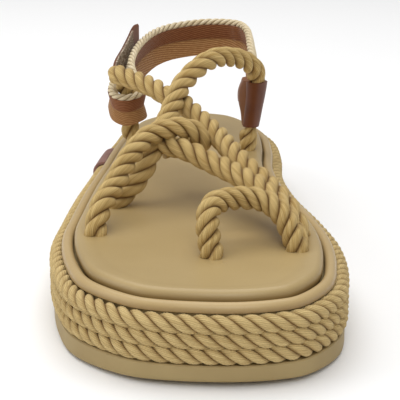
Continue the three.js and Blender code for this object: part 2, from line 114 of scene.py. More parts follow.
floor_mesh = bpy.data.meshes.new("floor")
half = FLOOR_SIZE / 2
floor_mesh.from_pydata([(-half, -half, 0), (half, -half, 0), (half, half, 0), (-half, half, 0)],
                       [], [(0, 1, 2, 3)])
floor = bpy.data.objects.new("floor", floor_mesh)
bpy.context.scene.collection.objects.link(floor)
floor_paper, _, _ = new_finish("floor_paper", 0.9, Base_Color=(0.94, 0.94, 0.94, 1.0))
floor_mesh.materials.append(floor_paper)


# Outsole: one moulded rubber piece, a slab with a small round at the floor and a core
# that rises behind the rope. Its underside has a rim and shallow cross bars.
SOLE_LENGTH = 0.271
BALL_WIDTH = 0.105
HEEL_WIDTH = 0.0775
TOE_TIP_ACROSS = 0.0097
HEEL_TIP_ACROSS = -0.0015
TOE_SPRING = 0.0022
SPRING_LENGTH = 0.050
SLAB_HEIGHT = 0.0075
SLAB_SETBACK = 0.0012
SLAB_EDGE_ROUND = 0.0012
SLAB_TOP_ROUND = 0.0004
COURSE_DIAMETER = 0.0050
PIECE_GAP = 0.0003
COURSE_PITCH = COURSE_DIAMETER + PIECE_GAP
CORE_TOP = SLAB_HEIGHT + 3 * COURSE_PITCH - PIECE_GAP
CORE_INSET = COURSE_DIAMETER + PIECE_GAP
OUTLINE = [
    {"along": 0.010, "rear": 0.00, "medial": 0.242, "lateral": 0.136},
    {"along": 0.027, "rear": 0.00, "medial": 0.327, "lateral": 0.238},
    {"along": 0.088, "rear": 0.00, "medial": 0.434, "lateral": 0.393},
    {"along": 0.168, "rear": 0.00, "medial": 0.473, "lateral": 0.466},
    {"along": 0.269, "rear": 0.00, "medial": 0.475, "lateral": 0.503},
    {"along": 0.370, "rear": 0.15, "medial": 0.453, "lateral": 0.514},
    {"along": 0.491, "rear": 0.50, "medial": 0.424, "lateral": 0.545},
    {"along": 0.612, "rear": 0.80, "medial": 0.424, "lateral": 0.559},
    {"along": 0.733, "rear": 1.00, "medial": 0.471, "lateral": 0.561},
    {"along": 0.834, "rear": 1.00, "medial": 0.457, "lateral": 0.515},
    {"along": 0.905, "rear": 1.00, "medial": 0.390, "lateral": 0.477},
    {"along": 0.950, "rear": 1.00, "medial": 0.311, "lateral": 0.385},
    {"along": 0.979, "rear": 1.00, "medial": 0.211, "lateral": 0.271},
]
STEPS_PER_ROW = 20
TREAD_RIM = 0.006
TREAD_DEPTH = 0.001
TREAD_BAR = 3
TREAD_PITCH = 5


def smooth_path(points, closed=False, steps=12):
    """Points of one smooth curve through the given points."""
    points = np.asarray(points, float)
    count = len(points)
    share = np.arange(steps)[:, None] / steps
    path = []
    for i in range(count if closed else count - 1):
        start, end = points[i], points[(i + 1) % count]
        before = points[i - 1] if closed or i > 0 else 2 * start - end
        after = points[(i + 2) % count] if closed or i + 2 < count else 2 * end - start
        gap_before, gap, gap_after = (
            np.linalg.norm(b - a) ** 0.5 for a, b in ((before, start), (start, end), (end, after)))
        leave = gap * ((start - before) / gap_before - (end - before) / (gap_before + gap)
                       + (end - start) / gap)
        arrive = gap * ((end - start) / gap - (after - start) / (gap + gap_after)
                        + (after - end) / gap_after)
        path.append(start + leave * share
                    + (3 * (end - start) - 2 * leave - arrive) * share ** 2
                    + (2 * (start - end) + leave + arrive) * share ** 3)
    if not closed:
        path.append(points[-1:])
    return np.concatenate(path)


def directions(path, closed=False):
    """Unit direction of a path at each of its points."""
    if closed:
        along = np.roll(path, -1, axis=0) - np.roll(path, 1, axis=0)
    else:
        along = np.gradient(path, axis=0)
    return along / np.linalg.norm(along, axis=1, keepdims=True)


def outline_path():
    width = [BALL_WIDTH + (HEEL_WIDTH - BALL_WIDTH) * row["rear"] for row in OUTLINE]
    along = [(row["along"] - 0.5) * SOLE_LENGTH for row in OUTLINE]
    medial = [(row["medial"] * w, y, 0) for row, w, y in zip(OUTLINE, width, along)]
    lateral = [(-row["lateral"] * w, y, 0) for row, w, y in zip(OUTLINE, width, along)]
    toe_tip = (TOE_TIP_ACROSS, -SOLE_LENGTH / 2, 0)
    heel_tip = (HEEL_TIP_ACROSS, SOLE_LENGTH / 2, 0)
    return smooth_path([toe_tip, *medial, heel_tip, *reversed(lateral)], True, STEPS_PER_ROW)


outline = outline_path()
outline_along = directions(outline, closed=True)


def toe_lift(y):
    share = np.maximum(0, (SPRING_LENGTH - SOLE_LENGTH / 2 - y) / SPRING_LENGTH)
    return TOE_SPRING * share ** 2


def sole_line(inset, height):
    """The sole's outline moved in by inset, at a height above the floor."""
    line = outline.copy()
    line[:, 0] -= outline_along[:, 1] * inset
    line[:, 1] += outline_along[:, 0] * inset
    line[:, 2] = height
    return line


def corner_map(rows, ring, loop):
    """Lengths along and across a grid, as its texture map in metres."""
    n, m = rows.shape[:2]
    closed = np.concatenate([rows, rows[:1]]) if loop else rows
    closed = np.concatenate([closed, closed[:, :1]], axis=1) if ring else closed
    along = np.linalg.norm(np.diff(closed, axis=0), axis=2).mean(axis=1)
    across = np.linalg.norm(np.diff(closed, axis=1), axis=2).mean(axis=0)
    u = np.concatenate([[0], np.cumsum(along)])
    v = np.concatenate([[0], np.cumsum(across)])
    return np.stack(np.broadcast_arrays(u[:, None], v[None, :]), axis=2)


def skin(rows, ring=True, loop=False, capped=False, texture=None, shade=None):
    """Faces over a grid of points: ring closes each row, loop joins the last row to the
    first, and capped closes both ends. shade is a value per point for the material."""
    rows = np.asarray(rows, float)
    n, m = rows.shape[:2]
    texture = corner_map(rows, ring, loop) if texture is None else texture
    i = np.arange(n if loop else n - 1)[:, None]
    k = np.arange(m if ring else m - 1)[None, :]
    next_i, next_k = (i + 1) % n, (k + 1) % m
    faces = np.stack(np.broadcast_arrays(
        i * m + k, i * m + next_k, next_i * m + next_k, next_i * m + k), axis=2).reshape(-1, 4)
    corners = np.stack([texture[i, k], texture[i, k + 1], texture[i + 1, k + 1],
                        texture[i + 1, k]], axis=2).reshape(-1, 2)
    faces = faces.tolist()
    if capped:
        for cap in (list(range(m))[::-1], list(range((n - 1) * m, n * m))):
            faces.append(cap)
            corners = np.concatenate([corners, np.zeros((m, 2))])
    shade = np.zeros((n, m)) if shade is None else np.broadcast_to(shade, (n, m))
    return {"points": rows.reshape(-1, 3), "faces": faces, "corners": corners,
            "shade": shade.reshape(-1)}


def make_piece(name, skins, finish, replaced, sharp=50, weld=0.0):
    """One named object from one or more skins. It rides on the sandal's only body."""
    points = np.concatenate([part["points"] for part in skins])
    corners = np.concatenate([part["corners"] for part in skins])
    faces = []
    start = 0
    for part in skins:
        faces.extend([[start + corner for corner in face] for face in part["faces"]])
        start += len(part["points"])
    mesh = bpy.data.meshes.new(name)
    mesh.from_pydata(points.tolist(), [], faces)
    mesh.uv_layers.new(name="lay").data.foreach_set("uv", corners.reshape(-1))
    # The hollow attribute carries each skin's shade values: the finishes paint shade or light from
    # it, and the webbing also slants its yarn lines by it.
    mesh.attributes.new("hollow", "FLOAT", "POINT").data.foreach_set(
        "value", np.concatenate([part["shade"] for part in skins]))
    mesh.materials.append(finish)
    work = bmesh.new()
    work.from_mesh(mesh)
    if weld:
        bmesh.ops.remove_doubles(work, verts=work.verts, dist=weld)
    bmesh.ops.recalc_face_normals(work, faces=work.faces)
    work.to_mesh(mesh)
    work.free()
    mesh.shade_smooth()
    mesh.set_sharp_from_angle(angle=math.radians(sharp))
    piece = bpy.data.objects.new(name, mesh)
    bpy.context.scene.collection.objects.link(piece)
    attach(piece, "root")
    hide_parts(*replaced)
    return piece


def ladder(line):
    """Closes a sole line, rung by rung from toe to heel."""
    half_count = len(line) // 2
    medial = line[:half_count + 1]
    lateral = np.concatenate([line[:1], line[:half_count - 1:-1]])
    return np.stack([medial, lateral], axis=1)


def two_tones(tree, value, first, first_at, last, last_at):
    """A colour that runs from the first tone to the last as the value rises."""
    tone = add_node(tree, "ValToRGB", Fac=value)
    low, high = tone.color_ramp.elements
    low.color, low.position = first, first_at
    high.color, high.position = last, last_at
    return tone.outputs["Color"]


def outsole_finish():
    finish, tree, shader = new_finish("sole_rubber", 0.62, Specular_IOR_Level=0.35)
    place = add_node(tree, "TexCoord").outputs["Object"]
    cloud = add_node(tree, "TexNoise", Vector=place, Scale=38.0, Detail=3.0).outputs["Fac"]
    tone = two_tones(tree, cloud, paint(156, 134, 90), 0.3, paint(168, 147, 102), 0.7)
    tree.links.new(tone, shader.inputs["Base Color"])
    grain = add_node(tree, "TexNoise", Vector=place, Scale=2600.0, Detail=2.0).outputs["Fac"]
    bump = add_node(tree, "Bump", Strength=0.25, Distance=0.0001, Height=grain)
    tree.links.new(bump.outputs["Normal"], shader.inputs["Normal"])
    return finish


edge = [(math.cos(a), math.sin(a)) for a in np.linspace(0, math.pi / 2, 6)]
slab_side = [(SLAB_SETBACK + SLAB_EDGE_ROUND * (1 - c), SLAB_EDGE_ROUND * (1 - s)) for c, s in edge]
slab_lines = [sole_line(inset, height) for inset, height in (
    *slab_side[::-1],
    (SLAB_SETBACK, SLAB_HEIGHT - SLAB_TOP_ROUND),
    (SLAB_SETBACK + SLAB_TOP_ROUND, SLAB_HEIGHT),
    (CORE_INSET, SLAB_HEIGHT),
    (CORE_INSET, CORE_TOP),
)]
tread_edge = sole_line(TREAD_RIM, 0)
tread_line = sole_line(TREAD_RIM + TREAD_DEPTH / 2, 0)
rung = np.minimum(np.arange(len(outline)), len(outline) - np.arange(len(outline)))
tread_line[:, 2] = np.where(rung % TREAD_PITCH < TREAD_BAR, 0, TREAD_DEPTH)
for line in (tread_line, tread_edge, *slab_lines[:len(slab_side)]):
    line[:, 2] += toe_lift(line[:, 1])
outsole_skins = [skin(np.array([tread_line, tread_edge, *slab_lines])),
                 skin(ladder(tread_line), ring=False),
                 skin(ladder(slab_lines[-1]), ring=False)]
make_piece("outsole_rubber", outsole_skins, outsole_finish(), ["outsole"],
           sharp=40, weld=0.00001)


# Rope courses: three rounds of three-strand rope, laid on the slab one above the other
# and glued to the core. Each strand is spun of fine yarns that lie along the rope.
COURSE_NAMES = ("lower", "middle", "upper")
COURSE_ROPE = 0.0064
COURSE_LIFT = 0.0030
COURSE_STACK = 0.00486
COURSE_LAY = 0.0154
ROPE_STEP = 0.0009
STRAND_HOLLOW = 0.40
STRAND_PLUMP = 2.4
YARN_TURN = 0.82
STREAK_SHADE = (0.56, 0.53, 0.47, 1.0)
BANDS_PER_LENGTH = 2 * math.pi / 20


def evenly(path, step, closed=False):
    """The same path with its points at even distances."""
    loop = np.concatenate([path, path[:1]]) if closed else path
    lengths = np.concatenate([[0], np.cumsum(np.linalg.norm(np.diff(loop, axis=0), axis=1))])
    at = np.linspace(0, lengths[-1], round(lengths[-1] / step) + 1)
    even = np.stack([np.interp(at, lengths, loop[:, axis]) for axis in range(3)], axis=1)
    return even[:-1] if closed else even


def carried_sides(path, closed, upright):
    """Two directions square to the path. On a level round one of them points up, and on a
    free path they are carried along it without turning about it."""
    along = directions(path, closed)
    if upright:
        first = np.array([0.0, 0.0, 1.0]) - along * along[:, 2:]
        first /= np.linalg.norm(first, axis=1, keepdims=True)
        return first, np.cross(along, first)
    first = np.empty_like(along)
    side = np.cross(along[0], (0.0, 0.0, 1.0))
    if np.linalg.norm(side) < 0.1:
        side = np.cross(along[0], (0.0, 1.0, 0.0))
    for i, direction in enumerate(along):
        side = side - direction * side.dot(direction)
        side /= np.linalg.norm(side)
        first[i] = side
    return first, np.cross(along, first)


def laid_rope(path, diameter, lay, hand=1, closed=False, upright=False, strands=3,
              facets=10, start=0.0, slim=None):
    """The skin of a laid rope along an even path. lay is the length of one full turn of a
    strand, and hand is 1 for right-hand lay. slim is a share of the diameter per point."""
    first, second = carried_sides(path, closed, upright)
    loop = np.concatenate([path, path[:1]]) if closed else path
    lengths = np.concatenate([[0], np.cumsum(np.linalg.norm(np.diff(loop, axis=0), axis=1))])
    if closed:
        lay = lengths[-1] / round(lengths[-1] / lay)
    turn = start + hand * 2 * math.pi * lengths / lay
    across = np.sin(np.linspace(-math.pi / 2, math.pi / 2, facets + 1))
    strand = np.repeat(np.arange(strands), facets)
    across_all = np.tile(across[:-1], strands)
    angle = (strand + (across_all + 1) / 2) * 2 * math.pi / strands
    reach = 1 - STRAND_HOLLOW * np.abs(across_all) ** STRAND_PLUMP
    radius = diameter / 2 * (np.ones(len(path)) if slim is None else slim)
    round_angle = turn[:len(path), None] + angle[None, :]
    out = (first[:, None] * np.cos(round_angle)[:, :, None]
           + second[:, None] * np.sin(round_angle)[:, :, None])
    rows = path[:, None] + out * (radius[:, None] * reach[None, :])[:, :, None]
    angle_closed = np.append(angle, 2 * math.pi)
    v = (angle_closed[None, :] + YARN_TURN * turn[:, None]) / (2 * math.pi)
    u = np.broadcast_to(lengths[:, None], v.shape)
    # The shade values run from 0 on a strand's crown to 1 in the valley between strands; the rope
    # finish paints shade there.
    return skin(rows, loop=closed, capped=not closed, texture=np.stack([u, v], axis=2),
                shade=np.abs(across_all)[None, :])


def rope_finish(name, light, dark, shade_colour, yarns, roughness, relief):
    """Spun rope: yarn lines along the rope, fibre streaks, and painted shade: a darker colour in the
    hollows between the strands.
    """
    finish, tree, shader = new_finish(name, roughness, Specular_IOR_Level=0.3,
                                      Sheen_Weight=0.04, Sheen_Roughness=0.5)
    place = add_node(tree, "UVMap", {"uv_map": "lay"}).outputs["UV"]
    yarn_place = add_node(tree, "Mapping", Vector=place, Scale=(60.0, float(yarns), 1.0))
    wobble = add_node(tree, "TexNoise", Vector=yarn_place.outputs["Vector"], Scale=0.6, Detail=2.0)
    bands = add_node(tree, "TexWave", {"bands_direction": "Y"}, Vector=yarn_place.outputs["Vector"],
                     Scale=BANDS_PER_LENGTH, Distortion=1.6, Detail=1.0, Detail_Scale=0.4)
    fibre_place = add_node(tree, "Mapping", Vector=place, Scale=(260.0, yarns * 3.2, 1.0))
    fibre = add_node(tree, "TexNoise", Vector=fibre_place.outputs["Vector"], Scale=1.0, Detail=3.0)
    mixed = add_node(tree, "Math", {"operation": "MULTIPLY_ADD"})
    tree.links.new(fibre.outputs["Fac"], mixed.inputs[0])
    mixed.inputs[1].default_value = 0.8
    tree.links.new(bands.outputs["Fac"], mixed.inputs[2])
    tone = two_tones(tree, wobble.outputs["Fac"], dark, 0.32, light, 0.68)
    # Painted shade: towards the valleys between strands the colour is mixed to the darker shade
    # colour.
    hollow = add_node(tree, "Attribute", {"attribute_name": "hollow"}).outputs["Fac"]
    valley_shade_weight = add_node(tree, "Math", {"operation": "POWER"})
    tree.links.new(hollow, valley_shade_weight.inputs[0])
    valley_shade_weight.inputs[1].default_value = 4.0
    valley_shaded = add_node(tree, "MixRGB", {"blend_type": "MIX"}, Fac=valley_shade_weight.outputs[0],
                      Color1=tone, Color2=shade_colour)
    streak = two_tones(tree, mixed.outputs[0], STREAK_SHADE, 0.25, (1.0, 1.0, 1.0, 1.0), 0.75)
    coloured = add_node(tree, "MixRGB", {"blend_type": "MULTIPLY"}, Fac=0.75,
                        Color1=valley_shaded.outputs["Color"], Color2=streak)
    tree.links.new(coloured.outputs["Color"], shader.inputs["Base Color"])
    bump = add_node(tree, "Bump", Strength=0.6, Distance=relief, Height=mixed.outputs[0])
    tree.links.new(bump.outputs["Normal"], shader.inputs["Normal"])
    return finish


# The third colour is the painted shade in the valleys between strands.
course_finish = rope_finish("course_rope", paint(219, 193, 135), paint(196, 168, 112),
                            paint(130, 95, 46), yarns=30, roughness=0.8, relief=0.00034)
for level, course_name in enumerate(COURSE_NAMES):
    middle = SLAB_HEIGHT + COURSE_LIFT + level * COURSE_STACK
    course_path = evenly(sole_line(COURSE_ROPE / 2, middle), ROPE_STEP, closed=True)
    course = laid_rope(course_path, COURSE_ROPE, COURSE_LAY, closed=True, upright=True,
                       facets=8, start=1.3 * level)
    make_piece("course_" + course_name, [course], course_finish,
               ["rope_course_" + course_name])


# Rim: a strip of leather folded over a cord and laid round the top of the core. It makes
# a soft roll between the rope and the footbed, with fine wrinkles across it.
RIM_WIDTH = 0.0042
RIM_HEIGHT = 0.0029
RIM_OVERHANG = 0.0010
RIM_FULLNESS = 0.8
RIM_SHADE_SHARE = 0.75
RIM_INSET = CORE_INSET - RIM_OVERHANG
RIM_BASE = CORE_TOP + PIECE_GAP


def leather_finish(name, light, dark, shade_colour, roughness, wrinkle, grain_size):
    """Smooth covering leather: cloudy tone, fine grain, wrinkles across its length, and
    painted shade: a darker tone where the mesh marks a part that lies in shade."""
    finish, tree, shader = new_finish(name, roughness, Specular_IOR_Level=0.4,
                                      Coat_Weight=0.05, Coat_Roughness=0.4)
    place = add_node(tree, "TexCoord").outputs["Object"]
    cloud = add_node(tree, "TexNoise", Vector=place, Scale=22.0, Detail=4.0).outputs["Fac"]
    tone = two_tones(tree, cloud, dark, 0.3, light, 0.7)
    # Painted shade: where the mesh marks it, the colour is mixed to the darker shade colour.
    painted_shade_share = add_node(tree, "Attribute", {"attribute_name": "hollow"}).outputs["Fac"]
    shown = add_node(tree, "MixRGB", Fac=painted_shade_share, Color1=tone, Color2=shade_colour)
    tree.links.new(shown.outputs["Color"], shader.inputs["Base Color"])
    grain = add_node(tree, "TexVoronoi", Vector=place, Scale=1 / grain_size).outputs["Distance"]
    fold_place = add_node(tree, "UVMap", {"uv_map": "lay"}).outputs["UV"]
    fold_scale = add_node(tree, "Mapping", Vector=fold_place, Scale=(520.0, 120.0, 1.0))
    folds = add_node(tree, "TexNoise", Vector=fold_scale.outputs["Vector"], Scale=1.0, Detail=2.0)
    fine = add_node(tree, "Bump", Strength=0.25, Distance=0.00008, Height=grain)
    bump = add_node(tree, "Bump", Strength=0.5, Distance=wrinkle, Height=folds.outputs["Fac"],
                    Normal=fine.outputs["Normal"])
    tree.links.new(bump.outputs["Normal"], shader.inputs["Normal"])
    return finish


rim_profile = [(RIM_INSET + RIM_WIDTH / 2 * (1 - math.cos(a)),
                RIM_BASE + RIM_HEIGHT * math.sin(a) ** RIM_FULLNESS)
               for a in np.linspace(0, math.pi, 15)]
rim_profile.append((RIM_INSET + RIM_OVERHANG / 2, RIM_BASE))
rim_lines = np.array([sole_line(inset, height) for inset, height in rim_profile])
# Painted shade: the rim is painted towards its darker third colour, fully at its base, fading out
# three quarters of the way up.
rim_painted_shade = [1 - min(1.0, (height - RIM_BASE) / (RIM_SHADE_SHARE * RIM_HEIGHT))
            for inset, height in rim_profile]
rim_leather = leather_finish("rim_leather", paint(188, 162, 114), paint(178, 152, 104),
                             paint(150, 122, 76), roughness=0.36, wrinkle=0.00012,
                             grain_size=0.0006)
make_piece("rim_roll", [skin(rim_lines.transpose(1, 0, 2), loop=True, shade=rim_painted_shade)],
           rim_leather, ["rim_binding"], sharp=60)


# Footbed: a leather-covered cushion that fills the inside of the rim. Its edge is a soft
# roll, it is dished a little under the foot, and it dimples where the ropes go down.
FOOTBED_THICKNESS = 0.0054
FOOTBED_EDGE_ROUND = 0.0024
FOOTBED_INSET = RIM_INSET + RIM_WIDTH + PIECE_GAP
FOOTBED_BASE = CORE_TOP + PIECE_GAP
FOOTBED_TOP = FOOTBED_BASE + FOOTBED_THICKNESS
DISH_DEPTH = 0.0005
DIMPLE_DEPTH = 0.0005
EDGE_BELLY = 0.0028
EDGE_TUCK = 0.0006
EDGE_SHADE_SHARE = 0.9
EDGE_STEPS = 12
TOP_RINGS = 22
DIMPLE_REACH = 0.0065
SPINE_FRONT = 0.040
SPINE_BACK = 0.032
ROPE_FEET = [
    {"across": 0.037, "along": 0.164},
    {"across": 0.313, "along": 0.187},
    {"across": 0.317, "along": 0.215},
    {"across": 0.329, "along": 0.242},
    {"across": -0.346, "along": 0.249},
    {"across": -0.302, "along": 0.376},
    {"across": -0.267, "along": 0.695},
    {"across": 0.194, "along": 0.696},
]


def footbed_sink(x, y, share):
    """How far the footbed's top lies below its full height; share runs from edge to spine."""
    sink = DISH_DEPTH * share * (2 - share)
    for foot in ROPE_FEET:
        foot_x = foot["across"] * BALL_WIDTH
        foot_y = (foot["along"] - 0.5) * SOLE_LENGTH
        distance = np.hypot(x - foot_x, y - foot_y)
        sink = sink + DIMPLE_DEPTH * np.exp(-(distance / DIMPLE_REACH) ** 2)
    return sink


edge_rings = [sole_line(FOOTBED_INSET + EDGE_TUCK * (1 - share * (2 - share)),
                        FOOTBED_BASE + EDGE_BELLY * share) for share in (0, 0.25, 0.5, 0.75)]
for angle in np.linspace(0, math.pi / 2, EDGE_STEPS):
    ring_inset = FOOTBED_INSET + FOOTBED_EDGE_ROUND * (1 - math.cos(angle))
    ring_height = FOOTBED_BASE + EDGE_BELLY + (FOOTBED_THICKNESS - EDGE_BELLY) * math.sin(angle)
    edge_rings.append(sole_line(ring_inset, ring_height))
brink = edge_rings[-1]
spine = brink.copy()
front, back = -SOLE_LENGTH / 2 + SPINE_FRONT, SOLE_LENGTH / 2 - SPINE_BACK
reach = (brink[:, 1] - brink[:, 1].min()) / (brink[:, 1].max() - brink[:, 1].min())
spine[:, 1] = front + (back - front) * reach
mirror = np.roll(spine[::-1], 1, axis=0)
spine[:, 0] = (spine[:, 0] + mirror[:, 0]) / 2
spine[:, 1] = (spine[:, 1] + mirror[:, 1]) / 2
for share in np.linspace(0, 1, TOP_RINGS)[1:]:
    ring = brink + (spine - brink) * share
    ring[:, 2] = FOOTBED_TOP - footbed_sink(ring[:, 0], ring[:, 1], share)
    edge_rings.append(ring)
edge_rings = np.array(edge_rings)
# Painted shade: the third colour is the footbed side's painted shade. The side is painted towards it,
# most at the base, fading out towards the top of the roll; the top gets none.
footbed_leather = leather_finish("footbed_leather", paint(178, 154, 106), paint(168, 144, 97),
                                 paint(102, 74, 28), roughness=0.38, wrinkle=0.00010,
                                 grain_size=0.0006)
edge_heights = edge_rings[:, :, 2].min(axis=1) - FOOTBED_BASE
edge_painted_shade = 1 - edge_heights / (EDGE_SHADE_SHARE * FOOTBED_THICKNESS)
edge_painted_shade[len(edge_rings) // 2:] = 0
make_piece("footbed_cushion", [skin(edge_rings, shade=np.clip(edge_painted_shade, 0, 1)[:, None]),
                               skin(ladder(edge_rings[0]), ring=False)],
           footbed_leather, ["footbed"], sharp=60, weld=0.00002)


# Strap ropes: thicker three-strand rope. One loop holds the big toe, one hitch crosses the
# instep, and two ropes rise to the ankle. Their ends go down through the footbed.
STRAP_DIAMETER = 0.0083
STRAP_CORE_RADIUS = 0.004
STRAP_LAY = 0.0205
TOE_LOOP_LAY = 0.0142
HITCH_LAY = 0.0185
STRAP_HEIGHT = 0.0448
STRAP_FOOT_DEPTH = 0.0023
SLEEVE_LOW = 0.0095
SLEEVE_HIGH = 0.0303
SLEEVE_FRONT = 0.035
SQUEEZE_EASE = 0.003
SLEEVE = [
    {"up": 0.00, "squeeze": 0.0016, "bulge": 0.0000},
    {"up": 0.25, "squeeze": 0.0014, "bulge": 0.0012},
    {"up": 0.50, "squeeze": 0.0012, "bulge": 0.0028},
    {"up": 0.75, "squeeze": 0.0009, "bulge": 0.0032},
    {"up": 1.00, "squeeze": 0.0006, "bulge": 0.0014},
]
TOE_LOOP = [
    {"across": 0.037, "along": 0.164, "rise": 0.000},
    {"across": 0.032, "along": 0.170, "rise": 0.055},
    {"across": 0.024, "along": 0.184, "rise": 0.222},
    {"across": 0.038, "along": 0.200, "rise": 0.308},
    {"across": 0.084, "along": 0.216, "rise": 0.326},
    {"across": 0.148, "along": 0.225, "rise": 0.323},
    {"across": 0.210, "along": 0.223, "rise": 0.302},
    {"across": 0.259, "along": 0.211, "rise": 0.232},
    {"across": 0.292, "along": 0.197, "rise": 0.101},
    {"across": 0.308, "along": 0.187, "rise": 0.000},
]
HITCH_OVER = [
    {"across": -0.346, "along": 0.249, "rise": 0.000},
    {"across": -0.345, "along": 0.253, "rise": 0.034},
    {"across": -0.330, "along": 0.271, "rise": 0.165},
    {"across": -0.289, "along": 0.312, "rise": 0.283},
    {"across": -0.258, "along": 0.341, "rise": 0.401},
    {"across": -0.216, "along": 0.369, "rise": 0.509},
    {"across": -0.177, "along": 0.389, "rise": 0.569},
    {"across": -0.125, "along": 0.402, "rise": 0.601},
    {"across": -0.071, "along": 0.410, "rise": 0.607},
    {"across": -0.027, "along": 0.415, "rise": 0.576},
    {"across": 0.003, "along": 0.421, "rise": 0.500},
    {"across": 0.006, "along": 0.431, "rise": 0.450},
    {"across": -0.020, "along": 0.440, "rise": 0.415},
    {"across": -0.072, "along": 0.440, "rise": 0.395},
    {"across": -0.130, "along": 0.428, "rise": 0.405},
]
HITCH_UNDER = [
    {"across": -0.138, "along": 0.419, "rise": 0.466},
    {"across": -0.089, "along": 0.400, "rise": 0.456},
    {"across": -0.036, "along": 0.386, "rise": 0.439},
    {"across": 0.024, "along": 0.367, "rise": 0.393},
    {"across": 0.076, "along": 0.347, "rise": 0.366},
    {"across": 0.126, "along": 0.319, "rise": 0.350},
    {"across": 0.184, "along": 0.288, "rise": 0.323},
    {"across": 0.230, "along": 0.260, "rise": 0.281},
    {"across": 0.270, "along": 0.238, "rise": 0.201},
    {"across": 0.301, "along": 0.223, "rise": 0.078},
    {"across": 0.317, "along": 0.215, "rise": 0.000},
]
LATERAL_ROPE = [
    {"across": -0.267, "along": 0.695, "rise": 0.000},
    {"across": -0.272, "along": 0.695, "rise": 0.055},
    {"across": -0.291, "along": 0.690, "rise": 0.234},
    {"across": -0.298, "along": 0.688, "rise": 0.391},
    {"across": -0.298, "along": 0.688, "rise": 0.569},
    {"across": -0.310, "along": 0.685, "rise": 0.658},
    {"across": -0.330, "along": 0.676, "rise": 0.730},
    {"across": -0.333, "along": 0.661, "rise": 0.770},
    {"across": -0.313, "along": 0.645, "rise": 0.774},
    {"across": -0.281, "along": 0.631, "rise": 0.764},
    {"across": -0.223, "along": 0.603, "rise": 0.753},
    {"across": -0.171, "along": 0.576, "rise": 0.733},
    {"across": -0.133, "along": 0.555, "rise": 0.700},
    {"across": -0.094, "along": 0.539, "rise": 0.679},
    {"across": -0.063, "along": 0.521, "rise": 0.663},
    {"across": -0.029, "along": 0.498, "rise": 0.623},
    {"across": 0.019, "along": 0.467, "rise": 0.558},
    {"across": 0.067, "along": 0.434, "rise": 0.494},
    {"across": 0.113, "along": 0.386, "rise": 0.435},
    {"across": 0.155, "along": 0.351, "rise": 0.377},
    {"across": 0.210, "along": 0.319, "rise": 0.310},
    {"across": 0.251, "along": 0.290, "rise": 0.255},
    {"across": 0.289, "along": 0.266, "rise": 0.183},
    {"across": 0.316, "along": 0.249, "rise": 0.078},
    {"across": 0.329, "along": 0.242, "rise": 0.000},
]
MEDIAL_ROPE = [
    {"across": 0.194, "along": 0.696, "rise": 0.000},
    {"across": 0.196, "along": 0.696, "rise": 0.055},
    {"across": 0.210, "along": 0.693, "rise": 0.234},
    {"across": 0.219, "along": 0.689, "rise": 0.391},
    {"across": 0.227, "along": 0.686, "rise": 0.547},
    {"across": 0.230, "along": 0.679, "rise": 0.703},
    {"across": 0.217, "along": 0.662, "rise": 0.829},
    {"across": 0.167, "along": 0.635, "rise": 0.937},
    {"across": 0.110, "along": 0.607, "rise": 0.993},
    {"across": 0.053, "along": 0.577, "rise": 1.011},
    {"across": 0.000, "along": 0.552, "rise": 0.969},
    {"across": -0.052, "along": 0.530, "rise": 0.875},
    {"across": -0.082, "along": 0.507, "rise": 0.795},
    {"across": -0.098, "along": 0.489, "rise": 0.713},
    {"across": -0.113, "along": 0.467, "rise": 0.637},
    {"across": -0.137, "along": 0.439, "rise": 0.551},
    {"across": -0.168, "along": 0.413, "rise": 0.420},
    {"across": -0.192, "along": 0.400, "rise": 0.302},
    {"across": -0.219, "along": 0.391, "rise": 0.200},
    {"across": -0.254, "along": 0.383, "rise": 0.112},
    {"across": -0.287, "along": 0.378, "rise": 0.045},
    {"across": -0.302, "along": 0.376, "rise": 0.000},
]


def rope_route(rows):
    """A rope's path through the rows of its table, with its ends sunk in the footbed."""
    points = [(row["across"] * BALL_WIDTH, (row["along"] - 0.5) * SOLE_LENGTH,
               FOOTBED_TOP + row["rise"] * STRAP_HEIGHT) for row in rows]
    if rows[0]["rise"] == 0:
        x, y, z = points[0]
        points.insert(0, (x, y, z - STRAP_FOOT_DEPTH))
    if rows[-1]["rise"] == 0:
        x, y, z = points[-1]
        points.append((x, y, z - STRAP_FOOT_DEPTH))
    return evenly(smooth_path(points), ROPE_STEP)


def sleeve_slimming(path):
    """The medial rope is squeezed thinner inside the leather sleeve."""
    above = path[:, 2] - FOOTBED_TOP
    inside = np.minimum(above - SLEEVE_LOW, SLEEVE_HIGH - above)
    inside[path[:, 1] < SLEEVE_FRONT] = -SQUEEZE_EASE
    share = np.clip(inside / SQUEEZE_EASE + 1, 0, 1)
    share = share * share * (3 - 2 * share)
    squeeze = np.interp((above - SLEEVE_LOW) / (SLEEVE_HIGH - SLEEVE_LOW),
                        [row["up"] for row in SLEEVE], [row["squeeze"] for row in SLEEVE])
    return 1 - 2 * squeeze / STRAP_DIAMETER * share


# The third colour is the painted shade in the valleys between strands.
strap_finish = rope_finish("strap_rope", paint(220, 191, 128), paint(188, 155, 92),
                           paint(124, 88, 40), yarns=38, roughness=0.72, relief=0.00045)
medial_path = rope_route(MEDIAL_ROPE)
strap_skins = []
for route, lay, start in ((TOE_LOOP, TOE_LOOP_LAY, 0.4),
                          (HITCH_OVER, HITCH_LAY, 1.0),
                          (HITCH_UNDER, STRAP_LAY, 0.2),
                          (LATERAL_ROPE, STRAP_LAY, 0.0)):
    strap_skins.append(laid_rope(rope_route(route), STRAP_DIAMETER, lay, facets=12, start=start))
strap_skins.append(laid_rope(medial_path, STRAP_DIAMETER, STRAP_LAY, facets=12, start=0.5,
                             slim=sleeve_slimming(medial_path)))
make_piece("strap_rope", strap_skins, strap_finish, ["strap_ropes"])


